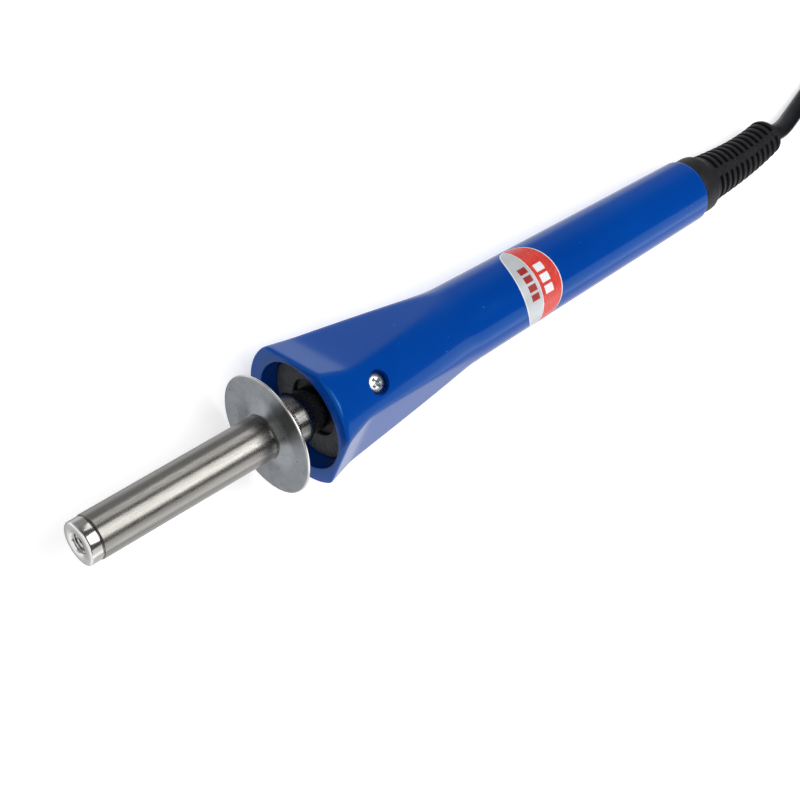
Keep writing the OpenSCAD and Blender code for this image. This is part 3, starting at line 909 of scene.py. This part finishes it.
def make_collar():
    """The ferrule that grips the barrel behind the disc: crimped rings, then a row of small
    pressed teeth and a skirt that opens a little towards the handle."""
    teeth = 44

    def tooth(psi):
        phase = (psi / (2 * math.pi) * teeth) % 1
        return min(1, max(0, (0.5 - abs(phase - 0.5) - 0.16) / 0.10))

    def raised(low, high):
        return lambda psi: low + (high - low) * tooth(psi)

    outline = [(52.2, 5.36), (52.2, 6.05), (52.35, 6.2), (53.2, 6.25), (53.5, 6.1),
               (53.7, 5.8), (53.9, 5.8), (54.1, 6.1), (54.6, 6.25), (55.1, 6.1),
               (55.3, 5.8), (55.5, 5.8), (55.7, 6.1), (56.1, 6.2), (56.4, 6.05),
               (56.6, 5.75), (56.75, 5.72), (56.8, raised(5.72, 5.95)),
               (56.9, raised(5.74, 6.02)), (57.25, raised(5.78, 6.05)),
               (57.35, raised(5.8, 5.98)), (57.4, 5.8), (57.6, 5.83), (58.5, 6.02),
               (59.5, 6.23), (60.2, 6.36), (60.34, 6.36), (60.4, 6.3), (60.4, 6.05),
               (59.5, 5.86), (58.2, 5.6), (57.6, 5.36)]
    mesh_data = bmesh.new()
    lathe(mesh_data, outline, steps=352)
    stand_for(add_mesh("crimped_collar", mesh_data, [DULL], 40), "crimp_collar")


def make_plate():
    """The board behind the mouth, with a round hole that the barrel runs through."""
    hole_r, rear_x = 7.3, PLATE_X + PLATE_T
    outline = rounded([(PLATE_X, hole_r), (PLATE_X, PLATE_R), (rear_x, PLATE_R),
                       (rear_x, hole_r)], 0.12, 3)
    mesh_data = bmesh.new()
    lathe(mesh_data, outline, steps=128)
    stand_for(add_mesh("mouth_plate", mesh_data, [BOARD]), "insulation_plate")


make_barrel()
make_disc()
make_collar()
make_plate()

# ---- Strain relief ----

RELIEF_START, RELIEF_END = 207.0, 234.0
RELIEF_BEND = 1.95       # how far its end has moved to the side
RELIEF_SAG = 0.12        # how far its middle has moved the other way
GROOVES, GROOVE_X, GROOVE_PITCH = 12, 205.5, 2.36
GROOVE_W, GROOVE_DEPTH = 1.15, 1.35
BRIDGE_ANGLE, BRIDGE_HALF = math.radians(8), math.radians(11)
RIB_R, RELIEF_END_R, RELIEF_NECK = 6.7, 5.1, 204.4
RELIEF_BORE_R = 2.5


def relief_middle(x):
    """Sideways place and slope of the relief's middle line at x."""
    length = RELIEF_END - RELIEF_START
    power = 2.6                              # the bend grows towards the end
    t = max(0, x - RELIEF_START) / length
    place = RELIEF_BEND * t ** power - RELIEF_SAG * math.sin(math.pi * t)
    slope = (power * RELIEF_BEND * t ** (power - 1)
             - RELIEF_SAG * math.pi * math.cos(math.pi * t))
    return place, slope / length if t > 0 else 0


def relief_place(x, r, psi):
    """A point of the relief, square to its middle line."""
    y, slope = relief_middle(x)
    lean = math.atan(slope)
    across = r * math.sin(psi)
    return at(x - across * math.sin(lean), y + across * math.cos(lean), r * math.cos(psi))


def rib_radius(x):
    """Radius of the ribs, which narrows towards the cord."""
    left = max(0, 1 - (x - RELIEF_NECK) / (RELIEF_END - RELIEF_NECK))
    return RELIEF_END_R + (RIB_R - RELIEF_END_R) * left ** 1.45


def slot_depth(psi, depth):
    """Depth of a groove at psi: two bridges, on opposite sides, nearly fill it."""
    at_bridge, fade = 0.22, math.radians(5)
    off = math.acos(min(1, abs(math.cos(psi - BRIDGE_ANGLE))))
    return depth * (at_bridge + (1 - at_bridge) * ease((off - BRIDGE_HALF) / fade))


def groove_profile(middle):
    """Outline of one groove: rounded lips, steep walls and a flat bottom."""
    crest, half = rib_radius(middle), GROOVE_W / 2
    side = [(half + 0.14, 0.0), (half + 0.05, 0.03), (half - 0.02, 0.12), (half - 0.06, 0.35),
            (half - 0.10, GROOVE_DEPTH - 0.12), (half - 0.2, GROOVE_DEPTH)]
    both = [(-x, depth) for x, depth in side] + side[::-1]
    return [(middle + x, lambda psi, depth=depth: crest - slot_depth(psi, depth))
            for x, depth in both]


def make_relief():
    """A cuff on the handle's end, then twelve grooves that two rows of bridges cross, and a
    rounded end."""
    end_round, end_steps = 1.7, 8
    profile = [(189.4, RELIEF_BORE_R), (189.4, 5.8), (190.8, 6.4), (190.8, 5.3),
               (197.45, 5.3), (197.45, 7.5), (197.55, 7.72), (197.8, 7.84), (198.4, 7.87),
               (200.0, 7.87), (201.6, 7.85), (202.2, 7.74), (202.8, 7.48), (203.4, 7.1),
               (204.0, 6.74), (RELIEF_NECK, 6.75)]
    for i in range(GROOVES):
        middle = GROOVE_X + i * GROOVE_PITCH
        if i > 0:                            # crest of the rib before this groove
            crest_x = middle - GROOVE_PITCH / 2
            profile.append((crest_x, rib_radius(crest_x) + 0.04))
        profile += groove_profile(middle)
    for k in range(1, end_steps + 1):
        a = math.radians(90 * k / end_steps)
        profile.append((RELIEF_END - end_round * (1 - math.sin(a)),
                        RELIEF_END_R - end_round * (1 - math.cos(a))))
    profile += [(RELIEF_END, 2.8), (RELIEF_END - 0.3, RELIEF_BORE_R + 0.02),
                (225, RELIEF_BORE_R), (RELIEF_START, RELIEF_BORE_R)]
    mesh_data = bmesh.new()
    lathe(mesh_data, profile, steps=180, place=relief_place)
    stand_for(add_mesh("cord_relief", mesh_data, [RUBBER], 50), "strain_relief")


make_relief()

# ---- Plug ----

PIN_PATTERN = Vector(MOUNTS["plug_pins"]["pos_m"]) / MM
PLUG_ENTRY = Vector((PIN_PATTERN.x, TAIL_POINTS[-1][1], PIN_PATTERN.z))
PLUG_LEN, PLUG_W, PLUG_T = 36, 35.3, 13.7
PIN_GAP, PIN_R, PIN_LEN = 18.6, 2.0, 19
SLEEVE_LEN, SLEEVE_BORE_R = 10, 1.42


def plug_place(x, y, z):
    """A point of the plug: x from the cord to the pins, z up."""
    return (PLUG_ENTRY + Vector((y, -x, z))) * MM


def oval_ring(x, wide, thick, power):
    """One section of the plug: 2 is an ellipse, and a higher power is squarer."""
    ring = []
    for a in circle(96):
        c, s = math.cos(a), math.sin(a)
        y = wide / 2 * math.copysign(abs(c) ** (2 / power), c)
        z = thick / 2 * math.copysign(abs(s) ** (2 / power), s)
        ring.append(plug_place(x, y, z))
    return ring


def make_plug():
    """A moulded flat plug: ribbed neck, shoulders, and a body with rounded edges."""
    rings = [oval_ring(0.0, 5.2, 5.2, 2), oval_ring(0.0, 7.4, 7.4, 2),
             oval_ring(0.3, 8.0, 8.0, 2)]
    for i in range(4):                       # the neck's grooves
        start, wide = 0.9 + i * 2.5, 8.2 + i * 0.8
        for x, more in ((0, 0), (0.2, -1.5), (0.9, -1.5), (1.1, 0.3)):
            rings.append(oval_ring(start + x, wide + more, wide + more, 2.05))
        rings.append(oval_ring(start + 2.2, wide + 0.6, wide + 0.5, 2.1))
    for x, wide, thick, power in ((10.9, 12.5, 11.4, 2.3), (11.6, 15.5, 12.6, 2.8),
                                  (12.6, 18.0, 13.3, 3.4), (14.5, 23.0, 13.6, 4.0),
                                  (17.0, 29.2, PLUG_T, 4.5), (19.0, 33.3, PLUG_T, 4.8),
                                  (20.5, 34.9, PLUG_T, 5.0), (22.5, PLUG_W, PLUG_T, 5.2),
                                  (30.0, PLUG_W, PLUG_T, 5.4), (34.6, PLUG_W, PLUG_T, 5.4),
                                  (35.5, 34.9, 13.3, 5.4), (35.9, 34.0, 12.4, 5.4),
                                  (PLUG_LEN, 33.0, 11.4, 5.4)):
        rings.append(oval_ring(x, wide, thick, power))
    mesh_data = bmesh.new()
    rows = skin(mesh_data, rings)
    cap(mesh_data, rows[0])
    cap(mesh_data, rows[-1])
    plug = add_mesh("plug", mesh_data, [PLUG], 40)
    return stand_for(plug, "plug_body")


def pin_lathe(name, outline, material, node):
    """Two round pieces, one at each pin, from one outline along the plug."""
    mesh_data = bmesh.new()
    for side in (-1, 1):
        def place(x, r, psi, side=side):
            return plug_place(x, side * PIN_GAP / 2 + r * math.sin(psi), r * math.cos(psi))
        lathe(mesh_data, outline, steps=40, place=place)
    return stand_for(add_mesh(name, mesh_data, [material], 40), node)


def make_pins():
    """Two nickel pins with round tips, each in a thin sleeve at its root."""
    end, sleeve_end = PLUG_LEN + PIN_LEN, PLUG_LEN + SLEEVE_LEN
    pin = [(PLUG_LEN, 0.02), (PLUG_LEN, 1.4), (sleeve_end, 1.4), (sleeve_end, PIN_R - 0.1),
           (sleeve_end + 0.1, PIN_R), (end - 1.6, PIN_R), (end - 0.9, 1.85),
           (end - 0.4, 1.5), (end - 0.1, 0.9), (end, 0.02)]
    sleeve = [(PLUG_LEN, SLEEVE_BORE_R), (PLUG_LEN, 1.95), (sleeve_end - 0.15, 1.86),
              (sleeve_end, 1.78), (sleeve_end, SLEEVE_BORE_R)]
    return (pin_lathe("pins", pin, NICKEL, "plug_pins"),
            pin_lathe("pin_sleeves", sleeve, PLUG, "plug_pin_sleeves"))


plug = make_plug()
pins, sleeves = make_pins()

# ---- Coil tie ----


TIE_HALF, TIE_LOW, TIE_HIGH = 10.3, 0.30, 15.85      # half its span, and its heights
TIE_CORNER, TIE_W, TIE_T = 2.2, 2.6, 0.5


def tie_path():
    """The tie's loop round the turns, as (outwards, up) points: a rounded rectangle."""
    right, left = TIE_HALF - TIE_CORNER, -TIE_HALF + TIE_CORNER
    top, bottom = TIE_HIGH - TIE_CORNER, TIE_LOW + TIE_CORNER
    path = []
    for quarter, (u, w) in enumerate(((right, top), (left, top), (left, bottom),
                                      (right, bottom))):
        for k in range(7):
            a = math.radians(90 * quarter + 15 * k)
            path.append(Vector((u + TIE_CORNER * math.cos(a), w + TIE_CORNER * math.sin(a))))
    return path


def make_tie():
    """A flat plastic-covered tie round the coil's turns."""
    centre = Vector((COIL_CENTRE[0] + COIL_OUT - 1.5 * CORD_D, COIL_CENTRE[1], 0))
    path = tie_path()
    rings = []
    for i, here in enumerate(path):
        run = (path[(i + 1) % len(path)] - path[i - 1]).normalized()
        out = Vector((run.y, -run.x))
        ring = []
        for a in circle(16):
            c, s = math.cos(a), math.sin(a)
            across = TIE_W / 2 * math.copysign(abs(c) ** 0.7, c)
            lift = TIE_T / 2 * (0.55 + 0.45 * abs(c) ** 6) * math.copysign(abs(s) ** 0.8, s)
            ring.append((centre + Vector((here.x + out.x * lift, across,
                                          here.y + out.y * lift))) * MM)
        rings.append(ring)
    mesh_data = bmesh.new()
    skin(mesh_data, rings, shut=True)
    return stand_for(add_mesh("tie", mesh_data, [TIE], 50), "coil_tie")


tie = make_tie()

# ---- Inner pieces: the CAD's own shapes, each with its finish ----

INNER = {
    "mount_bracket": (BLACKED, "collar_steel"),
    "heater_core": (CERAMIC, "white_ceramic"),
    "rear_ceramic_bush": (CERAMIC, "white_ceramic"),
    "inner_mica_sleeve": (MICA, "mica"),
    "outer_mica_sleeve": (MICA, "mica"),
    "mica_end_washer": (MICA, "mica"),
    "heater_winding": (WIRE, "nichrome"),
    "heater_leads": (WIRE, "nichrome"),
    "lead_sleeves": (SLEEVING, "glass_sleeving"),
    "crimp_sleeves": (ZINC, "screw_zinc"),
    "conductor_brown": (BROWN, "brown_pvc"),
    "conductor_blue": (PALE_BLUE, "blue_pvc"),
    "cord_retainer": (ZINC, "screw_zinc"),
    "cord_lead_in": (SHEATH, "cord_pvc"),
}
for name, (material, slot_name) in INNER.items():
    node = NODES[name]
    for i in range(len(node.data.materials)):
        node.data.materials[i] = material

# ---- Floor and light ----

FLOOR_GLOW = 0.55        # the floor is a lit table, so shadows on it stay faint
FLOOR_TONE = 0.72
FLOOR_HALF = 3.0         # metres


def make_floor():
    """A plain pale table that glows a little."""
    mesh_data = bmesh.new()
    corners = [mesh_data.verts.new((x * FLOOR_HALF, y * FLOOR_HALF, 0))
               for x, y in ((-1, -1), (1, -1), (1, 1), (-1, 1))]
    mesh_data.faces.new(corners)
    mesh = bpy.data.meshes.new("floor")
    mesh_data.to_mesh(mesh)
    mesh_data.free()
    material = bpy.data.materials.new("floor")
    material.use_nodes = True
    shader = material.node_tree.nodes["Principled BSDF"]
    shader.inputs["Base Color"].default_value = (FLOOR_TONE, FLOOR_TONE, FLOOR_TONE, 1)
    shader.inputs["Roughness"].default_value = 0.9
    shader.inputs["Specular IOR Level"].default_value = 0.1
    shader.inputs["Emission Color"].default_value = (1, 1, 1, 1)
    shader.inputs["Emission Strength"].default_value = FLOOR_GLOW
    mesh.materials.append(material)
    floor = bpy.data.objects.new("floor", mesh)
    bpy.context.scene.collection.objects.link(floor)
    floor.visible_glossy = False         # surfaces reflect the world's ground instead


def soft_light(name, place, aim, size, brightness, round_shape=False, in_gloss=True):
    """An area light of a given brightness, where 1 is the brightness of a white sheet."""
    data = bpy.data.lights.new(name, "AREA")
    data.shape = "ELLIPSE" if round_shape else "RECTANGLE"
    data.size, data.size_y = size
    area = size[0] * size[1] * (math.pi / 4 if round_shape else 1)
    data.energy = brightness * math.pi * area
    light = bpy.data.objects.new(name, data)
    light.location = place
    light.rotation_mode = "QUATERNION"
    light.rotation_quaternion = (Vector(aim) - Vector(place)).to_track_quat("-Z", "Y")
    light.visible_glossy = in_gloss
    bpy.context.scene.collection.objects.link(light)


def make_world():
    """The room that the surfaces reflect: a dim ceiling, a greyer horizon and a pale
    ground, which starts higher on the side of the big light."""
    ceiling, horizon, ground, under = 0.10, 0.42, 0.95, 0.40
    rise = 0.4                               # how much higher the ground starts towards -Y
    world = bpy.data.worlds.new("studio")
    world.use_nodes = True
    bpy.context.scene.world = world
    tree = Nodes(world.node_tree)
    apart = tree.node("ShaderNodeSeparateXYZ")
    tree.put(tree.node("ShaderNodeTexCoord").outputs["Generated"], apart.inputs[0])
    y, z = apart.outputs["Y"], apart.outputs["Z"]
    sky = tree.span(z, 0.0, 0.65, horizon, ceiling, "SMOOTHSTEP")
    floor_light = tree.span(z, -0.96, -0.76, under, ground, "SMOOTHSTEP")
    below = tree.math("SUBTRACT", tree.math("MULTIPLY", y, -rise), z)
    background = world.node_tree.nodes["Background"]
    tree.put(tree.span(below, 0.0, 0.30, sky, floor_light, "SMOOTHSTEP"),
             background.inputs["Strength"])
    background.inputs["Color"].default_value = (0.97, 0.98, 1.0, 1)


def make_light():
    """Soft lamps above, beside, in front of and behind the iron, a smaller one near the top
    lamp, and a fill that gloss doesn't show."""
    bpy.context.scene.view_settings.view_transform = "Standard"
    make_world()
    soft_light("top_lamp", (0.155, 0.0, 0.52), (0.155, 0, 0), (0.46, 0.46), 3.0,
               round_shape=True)
    soft_light("small_lamp", (0.30, -0.10, 0.54), (0.0, 0.0, 0.02), (0.20, 0.085), 4.0,
               round_shape=True)
    soft_light("side_wall", (0.45, -0.70, 0.33), (0.45, 0, 0.33), (1.5, 0.66), 1.05)
    soft_light("front_wall", (-0.80, 0.0, 0.40), (0, 0, 0.1), (1.0, 0.6), 0.9)
    soft_light("rear_lamp", (0.215, 0.55, 0.345), (-0.08, 0, 0.02), (0.26, 0.36), 1.5)
    soft_light("fill", (0.0, 0.0, 1.4), (0, 0, 0), (1.6, 1.6), 0.8, in_gloss=False)


make_floor()
make_light()

bpy.context.view_layer.update()
